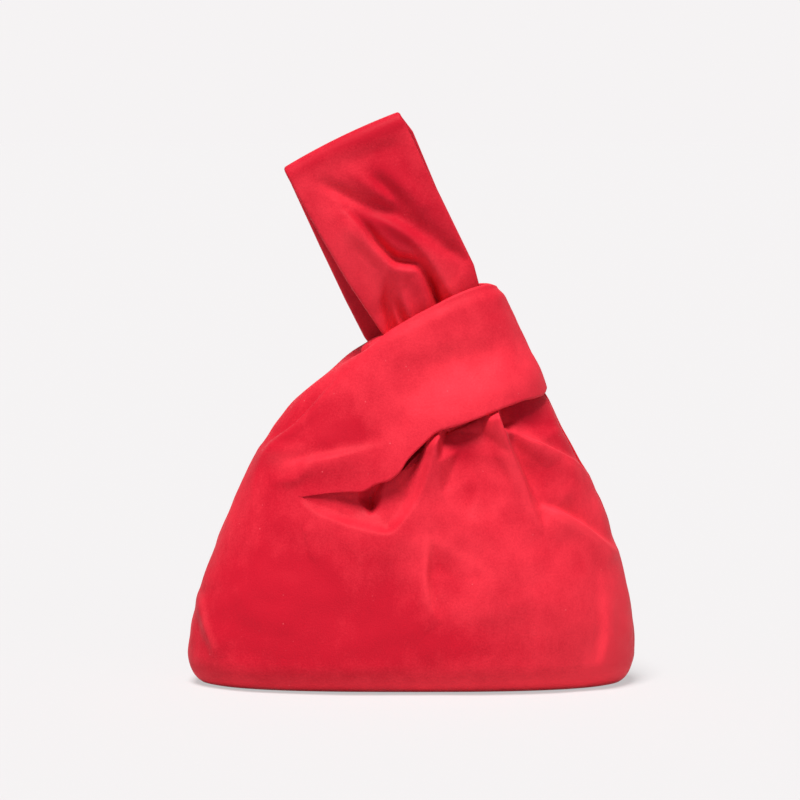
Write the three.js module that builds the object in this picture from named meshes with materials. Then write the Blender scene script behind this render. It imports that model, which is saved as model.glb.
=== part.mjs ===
// A knot bag of lined velvet: two handles grow out of a stuffed body, and the long handle is drawn
// through the ring of the short one, which closes the bag and leaves a loop to carry it by.
// Millimetres, +Z up, the front faces -Y, and the origin is on the floor under the middle of the base.
import * as THREE from "three";

// Driving sizes of the body
const bagWidth = 262; // side seam to side seam at the belly
const bagDepth = 118; // front to back at the belly
const bellyHeight = 18; // floor to the widest line
const sideTuck = 12; // how far the side walls tuck in under the belly
const frontTuck = 18; // how far the front and back walls tuck in under the belly
const seamTopHeight = 108; // floor to the top of the side seams
const seamTopWidth = 214; // across the bag at the top of the side seams
const seamTopDepth = 94; // front to back at the top of the side seams
const seamTopShift = 4; // how far the bag's middle has moved right there
const flankPower = 1.75; // how late the flanks lean in between the belly and the seam tops
const sectionPower = 2.8; // 2 is an ellipse, higher is squarer

// Driving sizes of the two handles and the knot
const mouthHeight = 219; // floor to the middle of the knot's mouth
const mouthShift = 7; // the mouth's middle, right of the bag's middle
const knotLean = 26; // degrees that the knot and the loop lean to the left
const handleWidth = 70; // width of the strap that both handles are cut to
const ringWidth = 93; // outside width of the short handle's ring
const ringDepth = 57; // outside depth of the short handle's ring
const rimDip = 8; // how far the two ends of the ring's rim lie below its middle
const ringCorner = 8; // how far the ring's lower right corner is rounded in
const shoulderOut = 80; // how far left the left shoulder bulges
const shoulderHeight = 170; // and how high
const flankOut = 101; // how far right the right flank bulges
const flankHeight = 138; // and how high
const pitAngle = 0.4 * Math.PI; // where along the front the ring's lower edge leaves the body
const pitRise = 0.08; // share of the short handle's height that the pit at that place takes
const lipPower = 2.4; // how fast the ring's lower edge climbs from the pit
const neckWidth = 66; // outside width of the long handle's gathers inside the ring
const neckDepth = 44; // outside depth of the gathers inside the ring
const neckLow = 76; // the gathers narrow to that size this far below the mouth, on the right
const pitNeckLow = 58; // and this far below it beside the pit
const neckTop = 34; // they end this far below the mouth
const gatherDive = 17; // how far below the neck the folds turn into the ring
const gatherFlare = 13; // how much further out they are where they turn
const loopHeight = 109; // mouth to the loop's top fold
const loopFootWidth = 60; // width of the strap where it leaves the mouth
const loopFootTuck = 6; // how much further in the front leaf's left edge is tucked there
const loopFullHeight = 42; // the strap is at its full width this far above the mouth
const loopSwell = 9; // half the gap between the loop's two leaves at its widest
const bunchRadius = 7; // the gathered foot of the loop
const nodHeight = 9; // the foot's middle above the mouth
const rootThickness = 9; // the gathered strap below the foot
const rootRadius = 28; // half its width, and the round of its lower end
const throatTop = 18; // the throat's upper edge below the mouth
const throatLow = 58; // and its lower edge

// Cloth layers
const velvetThickness = 1.4;
const interliningThickness = 1.0;
const liningThickness = 0.8;
const layerGap = 0.3; // clearance between neighbours that touch
const seamThickness = 0.8; // the sewn ridge between two panels

// Facets
const columns = 20; // across the front of a panel
const upperRows = 7;

// What follows from the sizes above
const rad = THREE.MathUtils.degToRad;
const lerp = THREE.MathUtils.lerp;
const mouth = new THREE.Vector3(mouthShift, 0, mouthHeight);
const across = new THREE.Vector3(Math.cos(rad(knotLean)), 0, Math.sin(rad(knotLean)));
const along = new THREE.Vector3(-Math.sin(rad(knotLean)), 0, Math.cos(rad(knotLean)));
const seamGap = seamThickness / 2 + layerGap; // from the middle plane to a panel's edge
const bellyHalf = bagWidth / 2;
const bellyHalfDepth = bagDepth / 2;
const bandMiddle = 0.5; // the share of the upper wall's height where the ring's corner is
const rimPower = 4; // how late the wall starts to rise to the middle of the rim

// Each layer is [outer face, inner face], measured inwards from the outside of the wall
const velvet = [0, velvetThickness];
const interlining = [velvet[1] + layerGap, velvet[1] + layerGap + interliningThickness];
const lining = [interlining[1] + layerGap, interlining[1] + layerGap + liningThickness];
const strapLining = [velvet[1] + layerGap, velvet[1] + layerGap + liningThickness];
const strapWall = strapLining[1];

const material = {
  velvet: new THREE.MeshStandardMaterial({ color: 0xe02f40, roughness: 0.9, metalness: 0 }),
  lining: new THREE.MeshStandardMaterial({ color: 0xb3202f, roughness: 0.6, metalness: 0 }),
  interlining: new THREE.MeshStandardMaterial({ color: 0xe9e2d6, roughness: 1, metalness: 0 }),
  seam: new THREE.MeshStandardMaterial({ color: 0xc42636, roughness: 0.8, metalness: 0 }),
};

const bag = new THREE.Group();
const knot = new THREE.Group(); // its X runs across the strap, its Z along the loop
knot.position.copy(mouth);
knot.rotation.y = -rad(knotLean);
bag.add(knot);

function add(name, geometry, look, parent = bag) {
  const mesh = new THREE.Mesh(geometry, look);
  mesh.name = name;
  parent.add(mesh);
  return mesh;
}

// A closed solid between two faces, each a function of two shares from 0 to 1
function slab(outerFace, innerFace, nAcross, nUp) {
  const positions = [];
  const faces = [];
  const stride = nAcross + 1;
  const layer = stride * (nUp + 1);
  for (const face of [outerFace, innerFace])
    for (let j = 0; j <= nUp; j++)
      for (let i = 0; i <= nAcross; i++) positions.push(...face(i / nAcross, j / nUp).toArray());
  const at = (k, i, j) => k * layer + j * stride + i;
  const quad = (a, b, c, d) => faces.push(a, b, c, a, c, d);
  for (let j = 0; j < nUp; j++)
    for (let i = 0; i < nAcross; i++) {
      quad(at(0, i, j), at(0, i + 1, j), at(0, i + 1, j + 1), at(0, i, j + 1));
      quad(at(1, i, j), at(1, i, j + 1), at(1, i + 1, j + 1), at(1, i + 1, j));
    }
  for (let i = 0; i < nAcross; i++) {
    quad(at(1, i, 0), at(1, i + 1, 0), at(0, i + 1, 0), at(0, i, 0));
    quad(at(0, i, nUp), at(0, i + 1, nUp), at(1, i + 1, nUp), at(1, i, nUp));
  }
  for (let j = 0; j < nUp; j++) {
    quad(at(0, 0, j), at(0, 0, j + 1), at(1, 0, j + 1), at(1, 0, j));
    quad(at(1, nAcross, j), at(1, nAcross, j + 1), at(0, nAcross, j + 1), at(0, nAcross, j));
  }
  return facingOut(positions, faces);
}

// Turns the faces round if the solid came out inside out
function facingOut(positions, faces) {
  const [a, b, c] = [new THREE.Vector3(), new THREE.Vector3(), new THREE.Vector3()];
  let volume = 0;
  for (let k = 0; k < faces.length; k += 3) {
    a.fromArray(positions, 3 * faces[k]);
    b.fromArray(positions, 3 * faces[k + 1]);
    c.fromArray(positions, 3 * faces[k + 2]);
    volume += a.dot(b.cross(c));
  }
  if (volume < 0) faces.reverse();
  const geometry = new THREE.BufferGeometry();
  geometry.setAttribute("position", new THREE.Float32BufferAttribute(positions, 3));
  geometry.setIndex(faces);
  return geometry;
}

// The layer of a wall, whose point at a share across, a share up and a depth is given
function shell(point, layer, nAcross, nUp) {
  return slab((a, b) => point(a, b, layer[0]), (a, b) => point(a, b, layer[1]), nAcross, nUp);
}

// The bulge of a section: 1 in the middle and 0 at the two edges, for a cosine from 1 to -1
const bulge = (cosine) => Math.sqrt(Math.max(0, 1 - Math.abs(cosine) ** sectionPower));

// The body's lower walls, from the floor to the top of the side seams
const tuckShares = [0, 0.15, 0.35, 0.65, 1];
const flankShares = [0.2, 0.42, 0.62, 0.82, 1];
const lowerHeights = [
  ...tuckShares.map((k) => k * bellyHeight),
  ...flankShares.map((k) => lerp(bellyHeight, seamTopHeight, k)),
];

// A half width or half depth of the body at one of those heights
function halfSize(z, belly, tuck, top) {
  if (z < bellyHeight) return belly - tuck * (1 - Math.sqrt(1 - (1 - z / bellyHeight) ** 2));
  return belly - (belly - top) * ((z - bellyHeight) / (seamTopHeight - bellyHeight)) ** flankPower;
}

// The same between two of the heights, along the straight facet, so that the layers nest
function facetSize(z, belly, tuck, top) {
  const above = Math.max(1, lowerHeights.findIndex((h) => h >= z - 1e-9));
  const [z0, z1] = [lowerHeights[above - 1], lowerHeights[above]];
  return lerp(halfSize(z0, belly, tuck, top), halfSize(z1, belly, tuck, top), (z - z0) / (z1 - z0));
}

function lowerSection(z) {
  const rise = Math.max(0, (z - bellyHeight) / (seamTopHeight - bellyHeight));
  return {
    middle: seamTopShift * rise,
    half: facetSize(z, bellyHalf, sideTuck, seamTopWidth / 2),
    halfDepth: facetSize(z, bellyHalfDepth, frontTuck, seamTopDepth / 2),
  };
}

function lowerPoint(angle, z, depth, side) {
  const { middle, half, halfDepth } = lowerSection(z);
  const x = middle - (half - depth) * Math.cos(angle);
  const y = seamGap + (halfDepth - depth - seamGap) * bulge(Math.cos(angle));
  return new THREE.Vector3(x, side * y, z);
}

// The layer's wall stands on its own base, so it starts as high as its outer face lies deep
function lowerWall(layer, side) {
  const last = lowerHeights.length - 1;
  const heights = lowerHeights.map((z) => Math.min(Math.max(z, layer[0]), seamTopHeight - layerGap));
  const rows = heights.filter((z, k) => k === last || heights[k + 1] > z + 1e-6);
  const point = (a, b, depth) => lowerPoint(a * Math.PI, rows[Math.round(b * (rows.length - 1))], depth, side);
  return shell(point, layer, columns, rows.length - 1);
}

// The base of a layer lies inside the foot of that layer's wall
function baseGeometry(layer) {
  const { half, halfDepth } = lowerSection(layer[0]);
  const inset = layer[1] + layerGap;
  const outline = [];
  for (let k = 0; k < 2 * columns; k++) {
    const angle = (k * Math.PI) / columns;
    const y = (halfDepth - inset) * bulge(Math.cos(angle)) * Math.sign(Math.sin(angle) + 1e-12);
    outline.push(new THREE.Vector2((half - inset) * Math.cos(angle), y));
  }
  const geometry = new THREE.ExtrudeGeometry(new THREE.Shape(outline), {
    depth: layer[1] - layer[0],
    bevelEnabled: false,
  });
  return geometry.translate(0, 0, layer[0]);
}

// The sewn ridge of a side seam, between the edges of the two velvet panels
function sideSeam(direction) {
  const point = (a, b, depth) => {
    const z = Math.min(lowerHeights[Math.round(b * (lowerHeights.length - 1))], seamTopHeight - layerGap);
    const { middle, half } = lowerSection(z);
    return new THREE.Vector3(middle + direction * (half - depth), lerp(-0.5, 0.5, a) * seamThickness, z);
  };
  return shell(point, velvet, 1, lowerHeights.length - 1);
}

// The upper walls, from the seam tops to the mouth: their left and right edges seen from the front
const topSection = lowerSection(seamTopHeight);
const flat = (x, z) => new THREE.Vector3(x, 0, z);
const ringPoint = (u, w) => mouth.clone().addScaledVector(across, u).addScaledVector(along, w);
const leftEdge = new THREE.QuadraticBezierCurve3(
  flat(topSection.middle - topSection.half, seamTopHeight),
  flat(-shoulderOut, shoulderHeight),
  ringPoint(-ringWidth / 2, -rimDip),
);
const rightEdge = new THREE.QuadraticBezierCurve3(
  flat(topSection.middle + topSection.half, seamTopHeight),
  flat(flankOut, flankHeight),
  ringPoint(ringWidth / 2 - ringCorner, -rimDip - handleWidth),
);

function rightEdgePoint(rise) {
  if (rise <= bandMiddle) return rightEdge.getPoint(rise / bandMiddle);
  const k = (rise - bandMiddle) / (1 - bandMiddle);
  const inset = ringCorner * (1 - Math.sqrt(1 - (1 - k) ** 2));
  return ringPoint(ringWidth / 2 - inset, -rimDip - handleWidth * (1 - k));
}

function upperPoint(angle, rise, depth, side) {
  const left = leftEdge.getPoint(rise);
  const right = rightEdgePoint(rise);
  const inwards = right.clone().sub(left).normalize().multiplyScalar(depth);
  const share = (1 - Math.cos(angle)) / 2;
  const point = left.add(inwards).lerp(right.sub(inwards), share);
  point.addScaledVector(along, rimDip * bulge(Math.cos(angle)) * rise ** rimPower);
  const halfDepth = lerp(seamTopDepth, ringDepth, rise) / 2 - depth;
  point.y = side * (seamGap + (halfDepth - seamGap) * bulge(Math.cos(angle)));
  return point;
}

// The lower edge of the short handle: on the body as far as the pit, then free, climbing to the right
function lipRise(angle) {
  if (angle <= pitAngle + 1e-9) return 0;
  const share = (x) => (1 - Math.cos(x)) / 2;
  const q = (share(angle) - share(pitAngle)) / (1 - share(pitAngle));
  return pitRise + (bandMiddle - pitRise) * (1 - (1 - q) ** lipPower);
}

function shortHandle(layer, side) {
  const point = (a, b, depth) => {
    const angle = a * Math.PI;
    return upperPoint(angle, lerp(lipRise(angle), 1, b), depth, side);
  };
  return shell(point, layer, columns, upperRows);
}

// The ridge that joins the short handle's two halves, at the right end of the ring
function shortHandleSeam() {
  const point = (a, b, depth) => {
    const rise = lerp(bandMiddle, 1, b);
    const edge = rightEdgePoint(rise);
    const inwards = leftEdge.getPoint(rise).sub(edge).normalize();
    edge.addScaledVector(inwards, depth);
    edge.y = lerp(-0.5, 0.5, a) * seamThickness;
    return edge;
  };
  return shell(point, velvet, 1, upperRows);
}

// The gathers: the right of the body drawn together and up into the ring
function neckPoint(angle, w, depth, side, flare = 0) {
  const point = ringPoint(-(neckWidth / 2 + flare - depth) * Math.cos(angle), w);
  point.y = side * (seamGap + (neckDepth / 2 - depth - seamGap) * bulge(Math.cos(angle)));
  return point;
}

function gather(layer, side) {
  const rows = upperRows + 1;
  const straight = 1 / rows; // the share of the rows that lies in the straight neck
  const firstAngle = pitAngle + Math.PI / columns / 2;
  const point = (a, b, depth) => {
    const angle = a * Math.PI;
    const low = -lerp(pitNeckLow, neckLow, a);
    if (b > 1 - straight + 1e-9) {
      const k = (b - 1 + straight) / straight;
      return neckPoint(angle, lerp(low, -neckTop, k), depth, side);
    }
    return new THREE.QuadraticBezierCurve3(
      lowerPoint(lerp(firstAngle, Math.PI, a), seamTopHeight, depth, side),
      neckPoint(angle, low - gatherDive, depth, side, gatherFlare),
      neckPoint(angle, low, depth, side),
    ).getPoint(b / (1 - straight));
  };
  return shell(point, layer, columns / 2 + 2, rows);
}

// The throat: the gathered strap inside the neck, with a pocket in which the root of the loop swings
function throat(side) {
  const depth = strapWall + layerGap;
  const widest = Math.acos((rootRadius + layerGap) / (neckWidth / 2 - depth));
  const pocket = side * (rootThickness / 2 + layerGap);
  const outer = (a, b) => {
    const angle = lerp(widest, Math.PI - widest, a);
    const u = -(neckWidth / 2 - depth) * Math.cos(angle);
    const y = seamGap + (neckDepth / 2 - depth - seamGap) * bulge(Math.cos(angle));
    return new THREE.Vector3(u, side * y, lerp(-throatLow, -throatTop, b));
  };
  const inner = (a, b) => outer(a, b).setY(pocket);
  return slab(outer, inner, columns / 2, 1);
}

// The root: the strap below the loop's foot, round so that the loop can lean either way
function loopRoot() {
  const top = nodHeight - bunchRadius - layerGap;
  const outline = new THREE.Shape();
  outline.absarc(0, top, rootRadius, Math.PI, 2 * Math.PI, false);
  outline.closePath();
  const geometry = new THREE.ExtrudeGeometry(outline, {
    depth: rootThickness,
    bevelEnabled: false,
    curveSegments: columns,
  });
  return geometry.rotateX(Math.PI / 2).translate(0, rootThickness / 2, 0);
}

// The foot: both leaves of the loop bunched together where they leave the mouth
function loopBunch() {
  const geometry = new THREE.CylinderGeometry(bunchRadius, bunchRadius, loopFootWidth - 8, columns);
  return geometry.rotateZ(Math.PI / 2).translate(0, 0, nodHeight);
}

// Half the gap between the leaves, from the foot up to the top fold
const foldHalf = 0.6;
const leafTop = loopHeight - (foldHalf + strapWall) - layerGap;
const leafFoot = nodHeight + layerGap;
function leafGap(b) {
  const foot = bunchRadius + layerGap;
  const arch = Math.sin(Math.PI * Math.min(1, b));
  return lerp(foot, foldHalf, b * b) + (loopSwell - foot / 2) * arch * (1 - b / 2);
}

function loopLeaf(layer, side) {
  const point = (a, b, depth) => {
    const w = lerp(leafFoot, leafTop, b);
    const widen = THREE.MathUtils.smoothstep(w, leafFoot, loopFullHeight);
    const half = lerp(loopFootWidth, handleWidth, widen) / 2;
    const tuck = side < 0 ? loopFootTuck * (1 - b) : 0;
    return new THREE.Vector3(lerp(tuck - half, half, a), side * (leafGap(b) + strapWall - depth), w);
  };
  return shell(point, layer, 5, 12);
}

// The top fold, where the two halves of the long handle are sewn together
function loopSeam() {
  const radius = foldHalf + strapWall;
  const outline = new THREE.Shape();
  outline.absarc(0, 0, radius, 0, Math.PI, false);
  outline.closePath();
  const geometry = new THREE.ExtrudeGeometry(outline, {
    depth: handleWidth,
    bevelEnabled: false,
    curveSegments: 8,
  });
  geometry.rotateX(Math.PI / 2).rotateZ(Math.PI / 2);
  return geometry.translate(-handleWidth / 2, 0, loopHeight - radius);
}

const sides = { front: -1, back: 1 };
for (const [word, side] of Object.entries(sides)) {
  add(`${word}_panel`, lowerWall(velvet, side), material.velvet);
  add(`${word}_interlining`, lowerWall(interlining, side), material.interlining);
  add(`${word}_lining`, lowerWall(lining, side), material.lining);
  add(`short_handle_${word}`, shortHandle(velvet, side), material.velvet);
  add(`short_handle_${word}_lining`, shortHandle(strapLining, side), material.lining);
  add(`${word}_gather`, gather(velvet, side), material.velvet);
  add(`${word}_gather_lining`, gather(strapLining, side), material.lining);
  add(`throat_${word}`, throat(side), material.velvet, knot);
  add(`long_handle_${word}`, loopLeaf(velvet, side), material.velvet, knot);
  add(`long_handle_${word}_lining`, loopLeaf(strapLining, side), material.lining, knot);
}
add("base_panel", baseGeometry(velvet), material.velvet);
add("base_interlining", baseGeometry(interlining), material.interlining);
add("base_lining", baseGeometry(lining), material.lining);
add("left_side_seam", sideSeam(-1), material.seam);
add("right_side_seam", sideSeam(1), material.seam);
add("short_handle_seam", shortHandleSeam(), material.seam);
add("loop_root", loopRoot(), material.velvet, knot);
add("loop_bunch", loopBunch(), material.velvet, knot);
add("long_handle_seam", loopSeam(), material.velvet, knot);

export default bag;
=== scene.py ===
import math

import bmesh
import bpy
import numpy as np
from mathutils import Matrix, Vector, noise


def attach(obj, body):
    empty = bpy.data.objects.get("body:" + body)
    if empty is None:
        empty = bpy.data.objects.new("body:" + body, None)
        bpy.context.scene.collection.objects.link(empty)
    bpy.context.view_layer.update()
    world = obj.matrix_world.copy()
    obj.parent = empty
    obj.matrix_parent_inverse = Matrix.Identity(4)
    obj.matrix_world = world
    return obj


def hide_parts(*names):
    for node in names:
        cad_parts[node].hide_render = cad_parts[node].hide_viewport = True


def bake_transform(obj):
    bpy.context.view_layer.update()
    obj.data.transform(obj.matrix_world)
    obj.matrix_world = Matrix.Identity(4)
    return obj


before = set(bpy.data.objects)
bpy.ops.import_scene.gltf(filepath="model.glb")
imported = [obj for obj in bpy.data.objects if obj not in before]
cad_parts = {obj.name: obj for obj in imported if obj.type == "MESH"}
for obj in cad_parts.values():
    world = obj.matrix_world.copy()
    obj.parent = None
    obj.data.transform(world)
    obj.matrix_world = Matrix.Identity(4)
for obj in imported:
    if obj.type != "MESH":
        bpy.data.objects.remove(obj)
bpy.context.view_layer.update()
mm = 0.001  # shapes are worked out in millimetres and set down in metres

bagShape = {
    "bellyHalf": 131, "bellyDepth": 59, "bellyHeight": 18, "sideTuck": 12, "frontTuck": 18,
    "seamTop": 108, "seamTopHalf": 107, "seamTopDepth": 47, "seamTopShift": 4,
    "flankPower": 1.75, "squareness": 2.8, "seamGap": 0.7, "joinPower": 4,
}
knotShape = {
    "mouth": (7, 219), "lean": 26, "ringHalf": 46.5, "ringDepth": 28.5, "rimDip": 8, "rimPower": 4,
    "shoulder": (-80, 170), "flank": (101, 138), "handleWidth": 70, "bandMiddle": 0.5,
    "pitAngle": 0.28 * math.pi, "pitReach": 0.3, "cornerDraw": 6, "cornerFrom": 0.6, "cornerPower": 3,
    "neckHalf": 33, "neckDepth": 22, "neckLow": 46, "neckTop": 34,
    "lipRoom": 2.6, "lipRoomColumns": 40, "underLip": 8, "flareReach": 28,
    "tuckIn": 0.7, "tuckFade": (0.55, 0.95),
    # the short handle's lower edge: how far across the bag, how far up the shoulder
    "lipLine": [(0.18, 0.042), (0.24, 0.062), (0.3, 0.074), (0.345, 0.08), (0.38, 0.116), (0.415, 0.134),
                (0.445, 0.177), (0.468, 0.24), (0.51, 0.31), (0.56, 0.374), (0.62, 0.398), (0.7, 0.43),
                (0.79, 0.463), (0.9, 0.493), (0.95, 0.502), (0.985, 0.511), (1, 0.532)],
}
clothGrid = {
    "columns": 300, "evenShare": 0.5, "wallRows": 96, "bandRows": 84, "gatherRows": 60, "diveRows": 16,
    "neckRows": 4, "baseRows": 24, "rollRows": 8, "edgeRows": 201, "lipWayRow": 5,
    # how far bends are eased where sheets join, in rows and columns, how often and by what share
    "edgeEase": 16, "joinEase": 9, "pitEase": 12, "easeRounds": 80, "easeShare": 0.5,
}
foldEnd = 2.6  # widths from its path at which a fold has died away
hollowDisc = {"rings": (0.5, 1), "spots": 8}  # where a hollow's mean is taken, in shares of its rounding
unpaintedLevel = 0.5  # the level at which the colour is painted neither lighter nor darker

lean = math.radians(knotShape["lean"])
acrossKnot = np.array([math.cos(lean), 0, math.sin(lean)])
alongKnot = np.array([-math.sin(lean), 0, math.cos(lean)])
mouth = np.array([knotShape["mouth"][0], 0, knotShape["mouth"][1]])
share = np.linspace(0, 1, clothGrid["columns"] + 1)
angles = share * math.pi + clothGrid["evenShare"] * (np.arccos(1 - 2 * share) - share * math.pi)
pitColumn = int(np.abs(angles - knotShape["pitAngle"]).argmin())


def smooth(low, high, x):
    t = np.clip((x - low) / (high - low), 0, 1)
    return t * t * (3 - 2 * t)


def unit(v):
    return v / np.maximum(np.linalg.norm(v, axis=-1, keepdims=True), 1e-9)


def bulge(c):
    return np.sqrt(np.clip(1 - np.abs(c) ** bagShape["squareness"], 0, 1))


def wallDepth(depth, c):
    gap = bagShape["seamGap"]
    return -(gap + (depth - gap) * bulge(c))


def wallSize(z, belly, tuck, top):
    s = bagShape
    low = belly - tuck * (1 - np.sqrt(np.clip(1 - (1 - z / s["bellyHeight"]) ** 2, 0, 1)))
    rise = np.clip((z - s["bellyHeight"]) / (s["seamTop"] - s["bellyHeight"]), 0, None)
    return np.where(z < s["bellyHeight"], low, belly - (belly - top) * rise ** s["flankPower"])


def wallPoints(z, c):
    s = bagShape
    rise = np.clip((z - s["bellyHeight"]) / (s["seamTop"] - s["bellyHeight"]), 0, None)
    x = s["seamTopShift"] * rise - wallSize(z, s["bellyHalf"], s["sideTuck"], s["seamTopHalf"]) * c
    y = wallDepth(wallSize(z, s["bellyDepth"], s["frontTuck"], s["seamTopDepth"]), c)
    return np.stack(np.broadcast_arrays(x, y, z), -1)


def wallSheet(rows, bandFoot):
    # the wall below the handles; its top row meets the short handle left of the pit, the gathers right of it
    c = np.cos(angles)
    past = np.clip(angles - angles[pitColumn], 0, None)
    fade = np.exp(-((past / knotShape["pitReach"]) ** 2))
    seamTop, pitTop = bagShape["seamTop"], bandFoot[pitColumn, 2]
    top = np.where(past > 0, seamTop + (pitTop - seamTop) * fade, bandFoot[:, 2])
    p = wallPoints(rows[:, None] * top[None, :], c[None, :])
    drift = np.where((past > 0)[:, None], (bandFoot - p[-1])[pitColumn] * fade[:, None], bandFoot - p[-1])
    return p + drift * (rows ** bagShape["joinPower"])[:, None, None]


def ringPoint(u, w):
    return mouth + np.multiply.outer(u, acrossKnot) + np.multiply.outer(w, alongKnot)


def bend(p0, p1, p2, t):
    t = np.asarray(t)[..., None]
    return (1 - t) ** 2 * p0 + 2 * t * (1 - t) * p1 + t**2 * p2


def lipShare(rise):
    return np.clip((rise - knotShape["bandMiddle"]) / (1 - knotShape["bandMiddle"]), 0, 1)


def easeRow(p, row, reach, weight):
    # softens a sheet's bend round one of its rows
    near = np.exp(-(((np.arange(len(p)) - row) / reach) ** 2))[1:-1, None, None]
    hold = weight[None, :, None] * clothGrid["easeShare"] * near
    for _ in range(clothGrid["easeRounds"]):
        p[1:-1] += hold * ((p[:-2] + p[2:]) / 2 - p[1:-1])


def bandEdges(rise):
    # the short handle's left and right edge; the right one runs up the flank and then along the ring's end
    s, k, g = bagShape, knotShape, clothGrid
    leftFoot = np.array([s["seamTopShift"] - s["seamTopHalf"], 0, s["seamTop"]])
    rightFoot = np.array([s["seamTopShift"] + s["seamTopHalf"], 0, s["seamTop"]])
    shoulder = np.array([k["shoulder"][0], 0, k["shoulder"][1]])
    flank = np.array([k["flank"][0], 0, k["flank"][1]])
    left = bend(leftFoot, shoulder, ringPoint(-k["ringHalf"], -k["rimDip"]), rise)
    steps = np.linspace(0, 1, g["edgeRows"])
    corner = ringPoint(k["ringHalf"], -k["rimDip"] - k["handleWidth"])
    below = bend(rightFoot, flank, corner, np.clip(steps / k["bandMiddle"], 0, 1))
    height = -k["rimDip"] - k["handleWidth"] * (1 - lipShare(steps))
    above = ringPoint(np.full(len(steps), k["ringHalf"]), height)
    edge = np.where((steps > k["bandMiddle"])[:, None], above, below)[:, None, :]
    easeRow(edge, len(steps) * k["bandMiddle"], g["edgeEase"], np.ones(1))
    return left, np.stack([np.interp(rise, steps, edge[:, 0, axis]) for axis in range(3)], -1)


def curveThrough(points, steps=8):
    p = np.array(points, float)
    ends = np.vstack([2 * p[0] - p[1], p, 2 * p[-1] - p[-2]])
    t = np.linspace(0, 1, steps, endpoint=False)[:, None]
    spans = []
    for a, b, c, d in zip(ends, ends[1:], ends[2:], ends[3:]):
        way, turn, twist = c - a, 2 * a - 5 * b + 4 * c - d, 3 * b - a - 3 * c + d
        spans.append(b + (way * t + turn * t**2 + twist * t**3) / 2)
    return np.vstack(spans + [p[-1:]])


def lipRise():
    line = curveThrough(knotShape["lipLine"])
    lip = np.interp((1 - np.cos(angles)) / 2, line[:, 0], line[:, 1])
    past = angles - angles[pitColumn]
    return np.where(past >= 0, lip, lip[pitColumn] * np.exp(-((past / knotShape["pitReach"]) ** 2)))


def bandSheet(rows):
    s, k = bagShape, knotShape
    low = lipRise()[None, :]
    rise = low + (1 - low) * rows[:, None]
    left, right = bandEdges(rise)
    c = np.cos(angles)[None, :]
    p = left + (right - left) * ((1 - c) / 2)[..., None]
    p = p + alongKnot * (k["rimDip"] * bulge(c) * rise ** k["rimPower"])[..., None]
    draw = k["cornerDraw"] * (1 - lipShare(rise)) ** k["cornerPower"]
    p[..., 0] -= draw * smooth(k["cornerFrom"], 1, (1 - c) / 2)
    p[..., 1] = wallDepth(s["seamTopDepth"] + (k["ringDepth"] - s["seamTopDepth"]) * rise, c)
    return p


def sheetNormals(p):
    return unit(np.cross(np.gradient(p, axis=1), np.gradient(p, axis=0)))


def between(p0, way0, p1, way1, steps):
    # a smooth run of cloth from one row of points to another, leaving and arriving along the given directions
    reach = np.linalg.norm(p1 - p0, axis=-1, keepdims=True) / 3
    t = np.linspace(0, 1, steps + 1)[:, None, None]
    c0, c1 = p0 + way0 * reach, p1 - way1 * reach
    return (1 - t) ** 3 * p0 + 3 * t * (1 - t) ** 2 * c0 + 3 * t**2 * (1 - t) * c1 + t**3 * p1


def gatherSheet(wall, band, normals):
    # from the wall up behind the short handle's lip, then in to the neck inside the ring
    k, g = knotShape, clothGrid
    start, below = wall[-1, pitColumn:], wall[-2, pitColumn:]
    lip, inward = band[0, pitColumn:], -normals[0, pitColumn:]
    upward = unit(band[g["lipWayRow"]] - band[0])[pitColumn:]
    room = k["lipRoom"] * smooth(0, k["lipRoomColumns"], np.arange(len(lip)))[:, None]
    tucked = lip + upward * k["underLip"] + inward * room
    around = np.cos(np.linspace(0, math.pi, len(lip)))
    neck = ringPoint(-k["neckHalf"] * around, -k["neckLow"])
    neck[:, 1] = -k["neckDepth"] * bulge(around)
    tuck = k["tuckIn"] * (1 - smooth(*k["tuckFade"], np.linspace(0, 1, len(lip))))
    inWay = unit(upward + inward * tuck[:, None])
    shown = between(start, unit(start - below), tucked, inWay, g["gatherRows"])
    dive = between(tucked, inWay, neck, alongKnot, g["diveRows"])
    lift = np.linspace(0, 1, g["neckRows"] + 1)[1:, None, None]
    return np.concatenate([shown, dive[1:], neck + lift * alongKnot * (k["neckLow"] - k["neckTop"])])


def foldHeight(across, up, fold):
    # how far one fold pushes the cloth out; right of its path it may fall into a groove
    path = curveThrough(fold["path"])
    left, right = fold["sides"]
    groove, reach = fold.get("groove", 0), fold.get("reach", 1)
    pad = foldEnd * max(left, right, reach if groove else 0)
    low, high = path[:, :2].min(0) - pad, path[:, :2].max(0) + pad
    close = (across > low[0]) & (across < high[0]) & (up > low[1]) & (up < high[1])
    total = np.zeros(across.shape)
    a, b = across[close], up[close]
    nearest, height, turn = np.full(a.shape, 1e9), np.zeros(a.shape), np.zeros(a.shape)
    for start, end in zip(path, path[1:]):
        da, db = end[:2] - start[:2]
        pa, pb = a - start[0], b - start[1]
        t = np.clip((pa * da + pb * db) / (da * da + db * db), 0, 1)
        away = np.hypot(pa - t * da, pb - t * db)
        closer = away < nearest
        nearest = np.where(closer, away, nearest)
        height = np.where(closer, start[2] + t * (end[2] - start[2]), height)
        turn = np.where(closer, (da * pb - db * pa) / (np.hypot(da, db) * away + 1e-6), turn)
    onLeft = smooth(-1, 1, turn)
    falling = np.exp(-((nearest / right) ** 2)) * (1 + groove) - groove * np.exp(-((nearest / reach) ** 2))
    total[close] = height * (onLeft * np.exp(-((nearest / left) ** 2)) + (1 - onLeft) * falling)
    return total


def foldsHeight(across, up, folds):
    return sum((foldHeight(across, up, fold) for fold in folds), np.zeros(across.shape))


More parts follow.
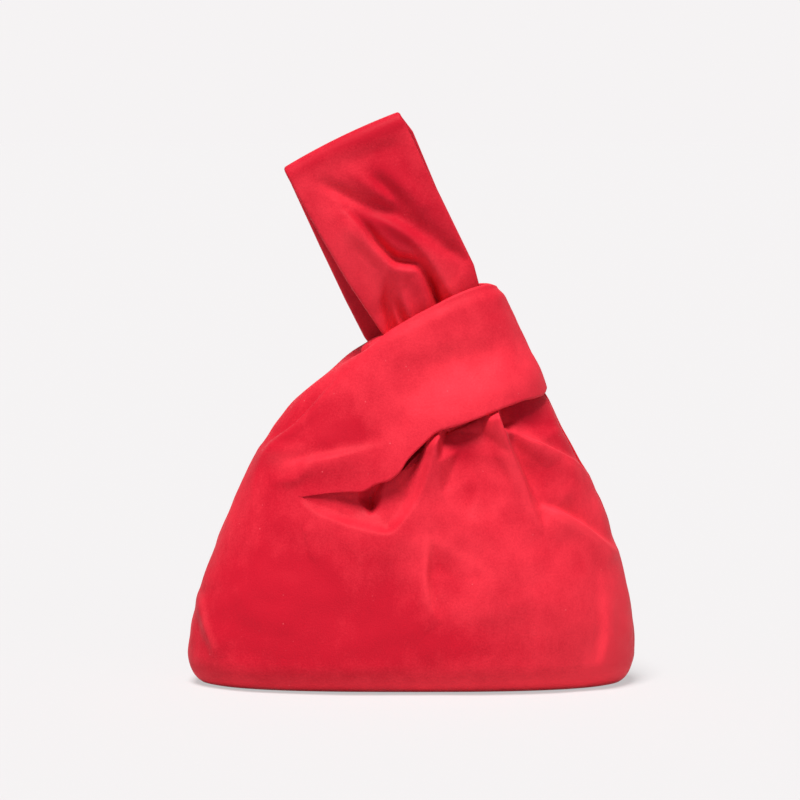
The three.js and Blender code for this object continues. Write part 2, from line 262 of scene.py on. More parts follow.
def facetHeight(across, up, corners, face):
    # height over one flat facet of a hollow, and nothing outside it
    (ax, az, ah), (bx, bz, bh), (cx, cz, ch) = (corners[name] for name in face)
    whole = (bx - ax) * (cz - az) - (cx - ax) * (bz - az)
    b = ((across - ax) * (cz - az) - (cx - ax) * (up - az)) / whole
    c = ((bx - ax) * (up - az) - (across - ax) * (bz - az)) / whole
    inside = (b >= 0) & (c >= 0) & (b + c < 1)
    return np.where(inside, ah + b * (bh - ah) + c * (ch - ah), 0)


def hollowHeight(across, up, hollow):
    # facets with their creases rounded by taking the mean over a small disc
    places = np.array([corner[:2] for corner in hollow["corners"].values()])
    low, high = places.min(0) - hollow["round"], places.max(0) + hollow["round"]
    close = (across > low[0]) & (across < high[0]) & (up > low[1]) & (up < high[1])
    total = np.zeros(across.shape)
    a, b = across[close], up[close]
    turns = np.arange(hollowDisc["spots"]) * 2 * math.pi / hollowDisc["spots"]
    spots = [(0, 0)] + [(r, turn) for r in hollowDisc["rings"] for turn in turns + r]
    for r, turn in spots:
        da, db = r * hollow["round"] * math.cos(turn), r * hollow["round"] * math.sin(turn)
        heights = (facetHeight(a + da, b + db, hollow["corners"], face) for face in hollow["faces"].split())
        total[close] += sum(heights) / len(spots)
    return total


def unevenness(p, size, seed):
    places = (p / size + seed).reshape(-1, 3).tolist()
    return np.array([noise.noise(q) for q in places]).reshape(p.shape[:-1])


def clothMesh(name, patches, weld=0.02):
    bm = bmesh.new()
    for p in patches:
        rows, columns = p.shape[:2]
        grid = bmesh.ops.create_grid(bm, x_segments=columns - 1, y_segments=rows - 1, size=1)["verts"]
        for vert, place in zip(grid, (p * mm).reshape(-1, 3)):
            vert.co = place
    bmesh.ops.remove_doubles(bm, verts=bm.verts, dist=weld * mm)
    mesh = bpy.data.meshes.new(name)
    bm.to_mesh(mesh)
    bm.free()
    mesh.shade_smooth()
    piece = bpy.data.objects.new(name, mesh)
    bpy.context.scene.collection.objects.link(piece)
    return piece


def clothArea(piece):
    return sum(face.area for face in piece.data.polygons)


def edgeRoll(p, n, radius, run, step):
    # rolls the cloth's first row over towards its inner face and runs it up inside
    down = unit(p[0] - p[1])
    turn = np.linspace(0, math.pi, clothGrid["rollRows"])[:, None, None]
    rolled = p[0] + down * radius * np.sin(turn) - n[0] * radius * (1 - np.cos(turn))
    inside = [p[j * step] - n[j * step] * 2 * radius for j in range(1, run + 1)]
    return np.concatenate([rolled, np.stack(inside)])


def paintLightAndShade(piece, strokes, along=False):
    # records on the cloth where its colour is painted lighter or darker: painted light and painted shade
    spots = np.array([vert.co for vert in piece.data.vertices]) / mm
    if along:
        spots = np.stack([(spots - mouth) @ acrossKnot, spots[:, 1], (spots - mouth) @ alongKnot], -1)
    paintedLightMap = piece.data.attributes.new("paintedLightMap", "FLOAT", "POINT")
    paintedLightMap.data.foreach_set("value", unpaintedLevel + foldsHeight(spots[:, 0], spots[:, 2], strokes))


print("shapes ready")

# folds and strokes: path is across, up and height, sides are the widths left and right of it; for the painted
# light-and-shade strokes the height is how far the colour is painted lighter or darker
# hollows: corners are across, up and depth, faces are the flat facets between them
frontFolds = {
    "hollows": [
        # the pocket under the handle's lip: a rolled rim, then a flatter floor that falls to one deep corner
        {"round": 1.4,
         "corners": {"t": (-65, 112.5, 0), "u": (-55, 104, 0), "v": (-36, 97.5, 0), "b": (-13, 92.5, 0),
                     "r": (-2, 103, 0), "s": (6.5, 119, 0), "f": (11.5, 136, 0), "g": (15, 200, 0),
                     "U": (-52, 108.5, -2.6), "V": (-35, 102.5, -3.8), "B": (-14.5, 98, -3.8),
                     "R": (-6.5, 106, -4), "S": (1.5, 121, -4), "F": (7, 137, -4), "G": (11, 200, -5),
                     "x": (-1.5, 122.5, -7.5), "y": (4, 138, -11), "z": (8, 200, -13),
                     "k": (-44, 114, -2.8), "p": (-25, 111, -7), "o": (-13, 117, -6), "l": (-46, 132, -3),
                     "m": (-20, 140, -8), "n": (-2, 200, -12)},
         "faces": "tuU uvV uVU vbB vBV brR bRB rsS rSR sfF sFS fgG fGF SFy Syx FGz Fzy RSx Rxo tUk "
                  "UVk kVp VBp Bop BRo xmo pom kpm tkl kml xym ynm yzn"},
        # its deepest corner
        {"round": 1.1,
         "corners": {"a": (-31.5, 113.5, 0), "d": (-23, 103.5, 0), "c": (-18.5, 109, 0), "g": (-16, 126, 0),
                     "f": (-29, 126, 0), "e": (-25, 112, -10)},
         "faces": "ade dce cge gfe fae"},
        # the hollow between the first and second finger, with a long floor that comes out on the belly
        {"round": 1.4,
         "corners": {"a": (15.5, 200, 0), "b": (15.5, 134, 0), "c": (17.5, 115, 0), "d": (30, 97, 0),
                     "e": (50, 101, 0), "f": (58, 118, 0), "h": (57, 138, 0), "g": (52, 151, 0),
                     "j": (47.5, 164, 0), "q": (45, 200, 0), "s": (17.4, 142, -8), "v": (17.6, 154, -17),
                     "z": (19, 200, -20), "w": (29, 140, -9), "x": (39, 123, -4), "y": (43, 150, -11),
                     "i": (40, 200, -18), "u": (48, 136, -5)},
         "faces": "abs asv bws swv bcw cxw cdx dex efx xfu wxu wuy vwy vyi viz avz ufh uhy yhg ygj "
                  "yji ijq"},
        # the cloth that runs in under the second finger's right edge
        {"round": 1.4,
         "corners": {"a": (46, 200, 0), "b": (48.5, 163, 0), "c": (53, 151, 0), "d": (57, 141, 0),
                     "e": (61, 131, 0), "f": (66, 118, 0), "g": (70.5, 107, 0), "h": (77, 93, 0),
                     "i": (84, 106, 0), "j": (94, 120, 0), "k": (92, 137, 0), "l": (87, 150, 0),
                     "m": (80, 166, 0), "n": (76, 200, 0),
                     "A": (54, 200, -17), "B": (57, 157, -13), "C": (61.5, 151, -5), "D": (61.5, 144, -7),
                     "E": (66, 130.5, -6), "F": (71, 117.5, -4), "G": (75, 106.5, -2), "H": (74, 144, -0.8),
                     "I": (79, 129, -3), "J": (68, 159, -8), "K": (66, 200, -14)},
         "faces": "abA bcB bBA cCB cdD cDC deE dED efF eFE fgG fGF ghG hiG GiF Fij EFI FjI Ijk DEI "
                  "DIH CDH HIk CHJ BCJ ABJ AJK JHl Hkl Jlm JmK Kmn"},
        # a shallow three-cornered dent on the belly
        {"round": 2.4,
         "corners": {"t": (10, 90, 0), "l": (9.5, 68, 0), "m": (14, 47, 0), "a": (15, 88, 0),
                     "b": (27, 81, 0), "c": (44, 70, 0), "r": (38, 54, 0), "p": (15, 74, -1.6),
                     "q": (27, 67, -1.4)},
         "faces": "tlp lmq lqp tpa pba pqb qcb mrq qrc"},
    ],
    "body": [
        # the pocket's rim, the second finger, and the two ridges that run from it to the right edge
        {"path": [(-66, 109, 0), (-54, 103.5, 1), (-36, 97, 2), (-13, 92, 2.2), (-3, 101, 2.2), (6, 116, 2.4),
                  (12, 136, 2.6), (15, 150, 2.6)], "sides": (2.5, 14)},
        {"path": [(77, 93, 0), (72, 100, 1), (68, 109, 1.8), (65, 120, 2.4), (60, 132, 2.8), (56, 141, 3),
                  (53, 151, 3.4), (48, 164, 3.4)], "sides": (12, 2)},
        {"path": [(103, 122, 0.4), (93, 131, 2.2), (74, 143, 2.4), (61, 151, 0.4)],
         "sides": (9, 2), "groove": 0.8, "reach": 8},
        {"path": [(122, 76, 0), (103, 92, 2.4), (88, 101.5, 3), (77, 106.5, 0.6)],
         "sides": (10, 2), "groove": 1, "reach": 9},
        # the belly: the dent's crest and two broad swells
        {"path": [(17, 42, 0), (12, 49, 1.2), (8.3, 66, 1.7), (9.6, 90, 0.4)],
         "sides": (9, 2.2), "groove": 0.6, "reach": 6},
        {"path": [(26, 102, 2.5), (40, 96, 3), (56, 84, 2)], "sides": (16, 18)},
        {"path": [(52, 60, 3), (80, 52, 3), (104, 48, 1)], "sides": (22, 22)},
        # beside the side seams
        {"path": [(111, 68, 0), (112.5, 50, 1), (113, 36, 1.5), (112, 22, 1.4), (110, 12, 0)],
         "sides": (7, 3.4), "groove": 1, "reach": 7},
        {"path": [(-60, 94, 0.8), (-57, 80, 0.4)], "sides": (4, 2), "groove": 0.8, "reach": 4},
        {"path": [(-123.5, 56, 0), (-122, 47, 1.2), (-118.5, 37, 1.7), (-114.5, 28, 1.5), (-112, 18, 0)],
         "sides": (9, 4), "groove": 0.6, "reach": 8},
    ],
    "band": [
        {"path": [(2, 183, -1), (20, 189, -2.4), (42, 195, -2.6), (60, 200, -0.8)], "sides": (10, 14)},
        # the soft creases on the shoulder
        {"path": [(-10, 144, 0), (-27, 139.5, 1.2), (-42, 135.5, 2.2), (-60, 131.5, 1.8), (-76, 127.5, 0)],
         "sides": (10, 3.5), "groove": 0.7, "reach": 9},
        {"path": [(-86, 136, 1), (-72, 139, 2), (-56, 139, 0)], "sides": (4, 5)},
        {"path": [(-82, 121, 0), (-68, 122, 1.5), (-60, 128, 1)], "sides": (4, 3)},
        {"path": [(-46, 180, -0.6), (-69, 155.6, -2.2), (-80.7, 145.8, -1.8), (-86, 136, -0.4)],
         "sides": (1.8, 3)},
        {"path": [(-42, 178, 0.6), (-66, 152, 1.7), (-77, 143, 1.4), (-84, 132, 0.4)], "sides": (3.4, 3)},
        {"path": [(-93, 86, 0), (-91, 104, 1.5), (-88, 126, 1.7), (-82, 141, 0.8)],
         "sides": (7, 3.2), "groove": 0.5, "reach": 9},
    ],
    # painted light and shade in the velvet's colour: painted highlights along the fold crests and ridges;
    # painted shade under the lip, in the hollows, in the belly dent and beside the shoulder creases; broad
    # patches painted darker over the lower left and middle and lighter at the right edge, along the foot and
    # across the band
    "napToneAndPaintedLight": [
        {"path": [(-112, 44, -0.5), (-62, 58, -0.7), (-24, 62, -0.35)], "sides": (38, 40)},
        {"path": [(-110, 24, 0), (0, 27, -0.4), (45, 27, -0.3), (115, 18, 0.4)], "sides": (13, 14)},
        {"path": [(-100, 3, 0.2), (0, 3, 0.25), (112, 4, 0.5)], "sides": (8, 8)},
        {"path": [(12, 50, 0.3), (8.3, 66, 0.5), (9.6, 90, 0.3)], "sides": (2.6, 2.6)},
        {"path": [(15, 77, -0.3), (24, 66, -0.25)], "sides": (8, 8)},
        {"path": [(15, 89, 0.2), (30, 80.5, 0.3), (46, 70, 0.2)], "sides": (3.5, 3.5)},
        {"path": [(110, 90, 0.1), (124, 50, 0.5), (120, 20, 0.5)], "sides": (20, 20)},
        {"path": [(30, 90, 0.1), (70, 50, 0.1)], "sides": (30, 30)},
        {"path": [(-80, 140, -0.5), (-52, 150, -0.5)], "sides": (26, 26)},
        {"path": [(20, 168, 0.25), (70, 195, 0.3)], "sides": (26, 26)},
        {"path": [(21, 143, -0.45), (31, 141, -0.5), (46, 141, -0.3)], "sides": (7, 7)},
        {"path": [(-122, 52, 0.3), (-118.5, 37, 0.5), (-114, 26, 0.3)], "sides": (2.4, 2.4)},
        {"path": [(-78, 116, -0.35), (-76, 98, -0.3)], "sides": (9, 9)},
        {"path": [(62, 159, -0.4), (75, 154, -0.55), (92, 139, -0.4)], "sides": (9, 8)},
        {"path": [(61, 151, 0.2), (74, 143.5, 0.4), (93, 131.5, 0.4), (102, 123, 0.2)], "sides": (3, 3)},
        {"path": [(78, 128, -0.3), (96, 113, 0.15), (108, 106, 0.3)], "sides": (10, 10)},
        {"path": [(50, 152, 0.3), (55, 139, 0.5), (64, 121, 0.4), (72, 100, 0.2)], "sides": (4, 4)},
        {"path": [(30, 134, -0.35), (38, 112, -0.35)], "sides": (8, 8)},
        {"path": [(4, 74, 0.25), (10, 84, 0.35), (22, 92, 0.2)], "sides": (14, 14)},
        {"path": [(-20, 46, -0.3), (4, 42, -0.3)], "sides": (14, 14)},
        {"path": [(77, 106.5, 0.3), (88, 101.5, 0.45), (103, 92, 0.45), (120, 78, 0.3)], "sides": (3, 3)},
        {"path": [(-80, 134, 0.45), (-62, 133, 0.5), (-44, 138, 0.3)], "sides": (7, 7)},
        {"path": [(-48, 147, -0.25), (-34, 150, -0.45), (-22, 149, -0.2)], "sides": (6, 5)},
    ],
    "lipFlare": [(0.18, 0), (0.26, 0.5), (0.34, 1.2), (0.4, 2.4), (0.46, 4), (0.55, 5.5), (0.7, 6), (0.9, 5),
                 (1, 3)],
    "seed": 3.1, "ear": 0,
}
backFolds = {
    "hollows": [
        {"round": 2.6,
         "corners": {"t": (-64, 112.5, 0), "v": (-40, 100, 0), "b": (-8, 95, 0), "r": (4, 112, 0),
                     "f": (14, 134, 0), "g": (20, 190, 0), "p": (-26, 112, -10), "q": (4, 134, -9),
                     "h": (9, 190, -9), "l": (-50, 160, -6), "m": (-20, 180, -11)},
         "faces": "tvp pvb pbr prq qrf qfh hfg tpl plm pqm mqh"},
    ],
    "body": [
        {"path": [(-66, 109, 0), (-40, 99.5, 2), (-8, 94.5, 2.5), (4, 111, 2.5), (14, 134, 3), (18, 150, 3)],
         "sides": (4, 13)},
        {"path": [(22, 150, -7), (34, 141, -5), (46, 132, -1)], "sides": (6, 6)},
        {"path": [(80, 88, 0), (70, 108, 3), (60, 134, 5), (50, 160, 6)],
         "sides": (10, 2.5), "groove": 0.8, "reach": 8},
        {"path": [(110, 100, 0), (92, 124, 3), (66, 146, 3)], "sides": (8, 4), "groove": 0.5, "reach": 7},
        {"path": [(0, 88, 1), (-6, 66, 2), (-2, 44, 0)], "sides": (9, 6)},
        {"path": [(60, 92, 1), (74, 70, 2), (84, 52, 0)], "sides": (8, 10)},
        {"path": [(-90, 88, 0), (-70, 76, 2), (-60, 58, 0)], "sides": (8, 9)},
    ],
    "band": [
        {"path": [(0, 182, -1), (26, 196, -2.4), (50, 206, -1)], "sides": (12, 12)},
        {"path": [(-70, 134, 0), (-46, 150, 2), (-30, 170, 1)], "sides": (8, 6)},
    ],
    "lipFlare": [(0.18, 0), (0.28, 1), (0.36, 2), (0.46, 4.5), (0.6, 6), (0.8, 6), (1, 3)],
    "seed": 17.4, "ear": 0.5,
    # painted shade over the lower body and painted light up the handle, as on the front
    "napToneAndPaintedLight": [
        {"path": [(-60, 60, -0.2), (30, 50, -0.2)], "sides": (45, 45)},
        {"path": [(-40, 150, 0.2), (60, 190, 0.25)], "sides": (30, 30)},
    ],
}
liningCut = {
    "lining": 5.5, "interlining": 3.5, "step": 2, "lipRows": 12, "hollowMargin": 8, "hollowPower": 6,
    "baseInset": 0.05, "baseFeltInset": 0.03,
}
outerShape = {
    # the cloth's slight unevenness, coarse and fine
    "uneven": [{"height": 1.5, "size": 34, "shift": 0}, {"height": 0.5, "size": 12, "shift": 5}],
    "seamGroove": 1.2, "seamReach": 2.4, "seamFadeRows": 30, "footFlat": 14,
    "rimDrop": 2.2, "rimFrom": 0.86, "rimRadius": 1.7, "rimRun": 10, "rimStep": 2,
    # the rim's ear near the ring's left end: place along the ring from right, -1, to left, 1, and share
    "earLine": [(-1, 0), (0.4, 0), (0.7, 0.6), (0.86, 1), (0.96, 0.7), (1, 0)], "earFrom": 0.8,
    "lipRadius": 0.2, "lipGrowth": 1.1, "lipColumns": 70, "lipRun": 8, "lipStep": 1,
    "gatherRoom": 2.6, "gatherNear": (1.5, 5), "gatherSkip": 2,
}


def keepInside(gather, band, room):
    # holds the gathers just behind the short handle's inner face where they run up under its lip
    skip = outerShape["gatherSkip"]
    shown = band[::skip, pitColumn::skip].reshape(-1, 3)
    for row in gather:
        away = np.hypot(row[:, None, 0] - shown[None, :, 0], row[:, None, 2] - shown[None, :, 2])
        nearest = away.argmin(1)
        close = 1 - smooth(*outerShape["gatherNear"], away[np.arange(len(row)), nearest])
        limit = shown[nearest, 1] + room
        row[:, 1] += np.where(row[:, 1] < limit, (limit - row[:, 1]) * close, 0)


def baseSheets(lipFlare):
    # the smooth wall, band and gathers that the folds are set on, each with its outward directions
    g = clothGrid
    top = g["wallRows"]
    band = bandSheet(np.linspace(0, 1, g["bandRows"] + 1))
    flare = np.interp((1 - np.cos(angles)) / 2, *curveThrough(lipFlare).T)
    flare = flare * np.exp(-((np.linalg.norm(band - band[:1], axis=-1) / knotShape["flareReach"]) ** 2))
    band = band + sheetNormals(band) * flare[..., None]
    wall = wallSheet(np.linspace(0, 1, top + 1), band[0])
    gather = gatherSheet(wall, band, sheetNormals(band))
    offPit = smooth(0, g["pitEase"], np.abs(np.arange(len(angles)) - pitColumn))
    left = np.concatenate([wall[:, : pitColumn + 1], band[1:, : pitColumn + 1]])
    right = np.concatenate([wall[:, pitColumn:], gather[1:]])
    easeRow(left, top, g["joinEase"], offPit[: pitColumn + 1])
    easeRow(right, top, g["joinEase"], offPit[pitColumn:])
    wall = np.concatenate([left[: top + 1, :pitColumn], right[: top + 1]], 1)
    band[:, : pitColumn + 1] = left[top:]
    leftNormals, rightNormals, bandNormals = sheetNormals(left), sheetNormals(right), sheetNormals(band)
    bandNormals[:, : pitColumn + 1] = leftNormals[top:]
    wallNormals = np.concatenate([leftNormals[: top + 1, :pitColumn], rightNormals[: top + 1]], 1)
    wallNormals[:, pitColumn] = unit(leftNormals[: top + 1, -1] + rightNormals[: top + 1, 0])
    bandNormals[0, pitColumn] = wallNormals[-1, pitColumn]
    gatherNormals = rightNormals[top:]
    gatherNormals[0, 0] = wallNormals[-1, pitColumn]
    return {"wall": (wall, wallNormals), "band": (band, bandNormals), "gather": (right[top:], gatherNormals)}


def hollowRoom(p, hollows):
    # how far the linings stand back to clear the hollows
    cut, room = liningCut, np.zeros(p.shape[:-1])
    for hollow in hollows:
        corners = np.array(list(hollow["corners"].values()))
        middle = corners[:, :2].mean(0)
        away = np.linalg.norm(p[..., ::2] - middle, axis=-1)
        reach = np.linalg.norm(corners[:, :2] - middle, axis=-1).max() + cut["hollowMargin"]
        room = np.maximum(room, -corners[:, 2].min() * np.exp(-((away / reach) ** cut["hollowPower"])))
    return room


def bagSide(folds):
    g, o = clothGrid, outerShape
    bandRows = np.linspace(0, 1, g["bandRows"] + 1)[:, None]
    leftOfPit = 1 - smooth(pitColumn, pitColumn + g["pitEase"], np.arange(len(angles)))
    made = {}
    for name, (p, n) in baseSheets(folds["lipFlare"]).items():
        push = sum(u["height"] * unevenness(p, u["size"], folds["seed"] + u["shift"]) for u in o["uneven"])
        groove = o["seamGroove"] * np.exp(-((p[..., 1] / o["seamReach"]) ** 2))
        if name != "band":
            push += foldsHeight(p[..., 0], p[..., 2], folds["body"])
            push += sum(hollowHeight(p[..., 0], p[..., 2], hollow) for hollow in folds["hollows"])
        if name != "gather":
            bandPush = foldsHeight(p[..., 0], p[..., 2], folds["band"])
            push += bandPush * leftOfPit if name == "wall" else bandPush
        if name == "wall":
            push *= smooth(0, o["footFlat"], p[..., 2])
        if name == "band":
            push -= o["rimDrop"] * smooth(o["rimFrom"], 1, bandRows) ** 2
            ear = smooth(o["earFrom"], 1, bandRows) * np.interp(np.cos(angles), *zip(*o["earLine"]))
            p = p + alongKnot * folds["ear"] * ear[..., None]
        if name == "gather":
            rows = np.arange(len(p))[:, None]
            push *= 1 - smooth(g["gatherRows"], g["gatherRows"] + g["diveRows"], rows)
            groove = groove * (1 - smooth(0, o["seamFadeRows"], rows))
        made[name] = p + n * (push - groove)[..., None]
        behind = p - n * hollowRoom(p, folds["hollows"])[..., None]
        made[name + "Lining"] = behind - n * liningCut["lining"]
        made[name + "Interlining"] = behind - n * liningCut["interlining"]
    n = sheetNormals(made["band"])
    lip, lipNormals = made["band"][:, pitColumn:], n[:, pitColumn:]
    lipRadius = o["lipRadius"] + o["lipGrowth"] * smooth(0, o["lipColumns"], np.arange(lip.shape[1]))
    keepInside(made["gather"], made["band"], o["gatherRoom"] * lipRadius)
    made["lip"] = edgeRoll(lip, lipNormals, lipRadius[:, None], o["lipRun"], o["lipStep"])[::-1]
    made["rim"] = edgeRoll(made["band"][::-1], n[::-1], o["rimRadius"], o["rimRun"], o["rimStep"])
    made["shoulderLining"] = made["bandLining"][:, : pitColumn + 1]
    made["bandLining"] = made["bandLining"][liningCut["lipRows"] :, pitColumn:]
    return made


def turned(p):
    # the same sheet on the bag's back, with its faces still looking outwards
    return (p * np.array([1, -1, 1]))[:, ::-1]


frontSide = bagSide(frontFolds)
backSide = {name: turned(p) for name, p in bagSide(backFolds).items()}
outerPatches = ("wall", "band", "gather", "lip", "rim")
frontCloth = clothMesh("front_cloth", [frontSide[name] for name in outerPatches])
backCloth = clothMesh("back_cloth", [backSide[name] for name in outerPatches])
paintLightAndShade(frontCloth, frontFolds["napToneAndPaintedLight"])
paintLightAndShade(backCloth, backFolds["napToneAndPaintedLight"])
print("outer cloth", len(frontCloth.data.polygons), "faces,", round(clothArea(frontCloth), 4), "m2")


def baseSheet(inset, lift):
    front, back = frontSide["wall"][0], backSide["wall"][0][::-1]
    t = np.linspace(0, 1, clothGrid["baseRows"] + 1)[:, None, None]
    p = (front + (back - front) * t) * (1 - inset)
    p[..., 2] = lift
    return p[::-1]


baseCloth = clothMesh("base_cloth", [baseSheet(0, 0)])
paintLightAndShade(baseCloth, [])

linings = {}
step = liningCut["step"]
for sideName, made in (("front", frontSide), ("back", backSide)):
    patches = [made[name + "Lining"][:: 2 * step, ::step] for name in ("wall", "shoulder", "band", "gather")]
    patches[0][..., 2] = np.maximum(patches[0][..., 2], liningCut["lining"])
    linings[sideName + "_lining"] = clothMesh(sideName + "_lining_cloth", patches)
    body = made["wallInterlining"][:: 2 * step, ::step]
    body[..., 2] = np.maximum(body[..., 2], liningCut["interlining"])
    linings[sideName + "_interlining"] = clothMesh(sideName + "_interlining_cloth", [body])
for name, inset in (("lining", "baseInset"), ("interlining", "baseFeltInset")):
    sheet = baseSheet(liningCut[inset], liningCut[name])
    linings["base_" + name] = clothMesh(f"base_{name}_cloth", [sheet])
print("linings ready")

seamShape = {"radius": 1.1, "flatness": 0.8, "sides": 12}


def seamRidge(name, front, back):
    # a narrow sewn ridge lying in the groove between the front and back cloth
    s = seamShape
    middle = (front + back) / 2
    along = unit(np.gradient(middle, axis=0))
    sideways = np.array([0, 1.0, 0])
    out = unit(np.cross(along, sideways)) * s["flatness"]
    turn = np.linspace(0, 2 * math.pi, s["sides"] + 1)
    ring = [middle + (sideways * math.cos(a) + out * math.sin(a)) * s["radius"] for a in turn]
    return clothMesh(name, [np.stack(ring, 1)])


leftFront = np.concatenate([frontSide["wall"][:, 0], frontSide["band"][1:, 0]])
leftBack = np.concatenate([backSide["wall"][:, -1], backSide["band"][1:, -1]])
rightFront = np.concatenate([frontSide["wall"][:, -1], frontSide["gather"][1:, -1]])
rightBack = np.concatenate([backSide["wall"][:, 0], backSide["gather"][1:, 0]])
seams = {
    "left_side_seam": seamRidge("left_seam_ridge", leftFront, leftBack),
    "right_side_seam": seamRidge("right_seam_ridge", rightFront, rightBack),
    "short_handle_seam": seamRidge("handle_seam_ridge", frontSide["band"][:, -1], backSide["band"][:, 0]),
}
print("seams ready")

strapShape = {
    "top": 103, "foot": -22, "half": 1.7, "step": 1.4, "bendAt": 9.3, "footGap": 4.5, "midGap": 7.3,
    "topGap": 3.6, "swell": 4, "lean": 7, "crown": 1.6, "crownHalf": 36, "crownFrom": -12, "crownTo": 4,
    "faceColumns": 60, "rimColumns": 7, "turnRows": 13, "frontRows": 4, "backRows": 9, "foldFade": 10,
    "uneven": {"height": 0.5, "size": 22, "seed": 40.2}, "blendFrom": -4, "blendTo": 24,
    "liningGap": 0.35, "liningLeft": -22, "liningRight": 26, "liningColumns": 32,
    "liningEnd": 10, "liningStep": 2,
    # the edges of the two leaves: how far up, how far across
    "frontLeft": [(-22, -16), (-8, -24), (0, -26), (19, -28.5), (34, -30.5), (67, -33), (93, -34.5),
                  (107, -35)],
    "frontRight": [(-22, 16), (-8, 30), (-2, 34), (10, 36.3), (60, 35.8), (92, 36.6), (107, 36.3)],
    "backLeft": [(-22, -22), (-8, -35), (0, -36.5), (25, -37), (60, -36.5), (107, -35)],
    "backRight": [(-22, 16), (-8, 30), (-2, 34), (10, 36.5), (60, 36.5), (96, 38.5), (107, 36.3)],
    "frontFolds": [
        # the deep S-shaped fold and the creases that follow it
        {"path": [(6.5, -6, 5), (7.7, 8.8, 5.5), (8.1, 16.2, 5.5), (6.3, 23.6, 5), (0.5, 27.5, 4.8),
                  (-4.6, 32.1, 4.6), (-9, 45, 4), (-11.8, 59.4, 3), (-15, 70, 1)],
         "sides": (10, 1.8), "groove": 1.2, "reach": 5},
        {"path": [(9, 20, -1.5), (10.5, 12, -5.2), (9.8, 2, -7), (8.8, -8, -7)], "sides": (2.4, 3)},
        {"path": [(9, 27, -1), (4, 31, -3.6), (-1.4, 35.8, -4), (-5.4, 46, -3.2), (-8, 57, -1)],
         "sides": (2.6, 2.8)},
        {"path": [(-18, 78, 0.5), (-17, 66, 2.6), (-16, 57, 3), (-13, 44, 1.5)], "sides": (10, 6)},
        {"path": [(2, 67, -1), (8, 62, -3), (12.5, 54, -4.2), (18.2, 43.7, -4.2), (23, 36, -3), (28, 28, -1)],
         "sides": (6, 4.5)},
        {"path": [(2, 58, 1), (7, 50, 2.5), (13, 40, 3.6), (17, 25.4, 3.6), (18.5, 11.5, 3.2), (20, -4, 3)],
         "sides": (7, 3)},
        # the slanting creases above it
        {"path": [(-22, 95, -0.5), (-15, 85, -3.1), (-7, 74, -3.4), (3, 63, -2.6), (9, 56, -1)],
         "sides": (4.5, 3.6)},
        {"path": [(-4, 94, 0.5), (3, 80, 2), (10, 66, 1.5)], "sides": (4, 4)},
        {"path": [(8, 84, -0.5), (11, 76, -2.6), (14, 67, -2.6), (17, 59, -1)], "sides": (4, 3)},
        {"path": [(18, 84, 0.3), (22, 70, 2), (26, 56, 1.2)], "sides": (5, 5)},
        {"path": [(25, 31, -0.6), (30, 24, -2.4), (34, 17, -1.6)], "sides": (4, 3.4)},
        # the bunched foot
        {"path": [(-18, 53, -0.5), (-17, 48, -1.8), (-14.5, 38, -1.6), (-12, 32, -0.5)], "sides": (3, 2.6)},
        {"path": [(-10, 25, -1), (-14, 18, -3.2), (-17.5, 12, -5), (-20.4, -2, -6), (-21, -10, -6)],
         "sides": (4, 2.6)},
        {"path": [(-5, 18, 1.4), (-7, 8, 3), (-9, -4, 3.4)], "sides": (4, 3)},
        {"path": [(-12, 12, -1.5), (-12.4, 4, -4.6), (-12.6, -6, -5.4)], "sides": (2.4, 2.2)},
        # the left edge and the top
        {"path": [(-28, 95, 0.4), (-27, 70, 1.3), (-26, 45, 1.4), (-24, 20, 0.8)], "sides": (6, 7)},
        {"path": [(-8, 99, -0.8), (8.7, 97, -1.4), (23, 93, -1.4)], "sides": (7, 8)},
        {"path": [(30, 8, 1.4), (29, -4, 1.4)], "sides": (4, 4)},
    ],
    "backFolds": [
        {"path": [(-10, 90, 0.5), (0, 60, 2), (4, 30, 3), (2, 0, 3)], "sides": (7, 5)},
        {"path": [(12, 76, -0.5), (18, 46, -2.4), (22, 20, -3), (22, -2, -3)], "sides": (3, 5)},
        {"path": [(-16, 60, -0.5), (-14, 36, -2.4), (-14, 12, -3.4), (-13, -2, -3)], "sides": (4, 3)},
    ],
    # painted light and shade on the loop: painted shade down its right side, along the top fold and in the
    # creases across its middle; painted light down its left side and on the ridge near its foot
    "napToneAndPaintedLight": [
        {"path": [(16, 80, -0.6), (20, 50, -0.4), (24, 10, -0.1)], "sides": (18, 18)},
        {"path": [(-22, 72, 0.25), (-18, 40, 0.45), (-14, 8, 0.4)], "sides": (11, 11)},
        {"path": [(-34, 106, -0.5), (0, 108, -0.6), (36, 106, -0.6)], "sides": (6, 6)},
        {"path": [(-16, 72, -0.2), (-6, 62, -0.5), (10, 44, -0.4)], "sides": (6, 6)},
        {"path": [(14, 30, 0.25), (19, 8, 0.55)], "sides": (9, 9)},
    ],
}


def strapPath():
    # the strap's middle line seen from its edge: up the front leaf, over the top fold, down the back leaf
    s = strapShape
    w = np.arange(s["foot"], s["top"], s["step"])
    b = np.clip((w - s["bendAt"]) / (s["top"] - s["bendAt"]), 0, 1)
    high = s["midGap"] + (s["topGap"] - s["midGap"]) * b**2 + s["swell"] * np.sin(math.pi * b) * (1 - b / 2)
    low = s["footGap"] + (s["midGap"] - s["footGap"]) * smooth(s["foot"], s["bendAt"], w)
    gap = np.where(w < s["bendAt"], low, high) + s["half"]
    turn = np.linspace(0, math.pi, s["turnRows"] + 2)[1:-1]
    radius = s["topGap"] + s["half"]
    y = np.concatenate([-gap, -radius * np.cos(turn), gap[::-1]])
    up = np.concatenate([w, s["top"] + radius * np.sin(turn), w[::-1]])
    return y - s["lean"] * np.clip(up / s["top"], 0, 1) ** 2, up, len(w)


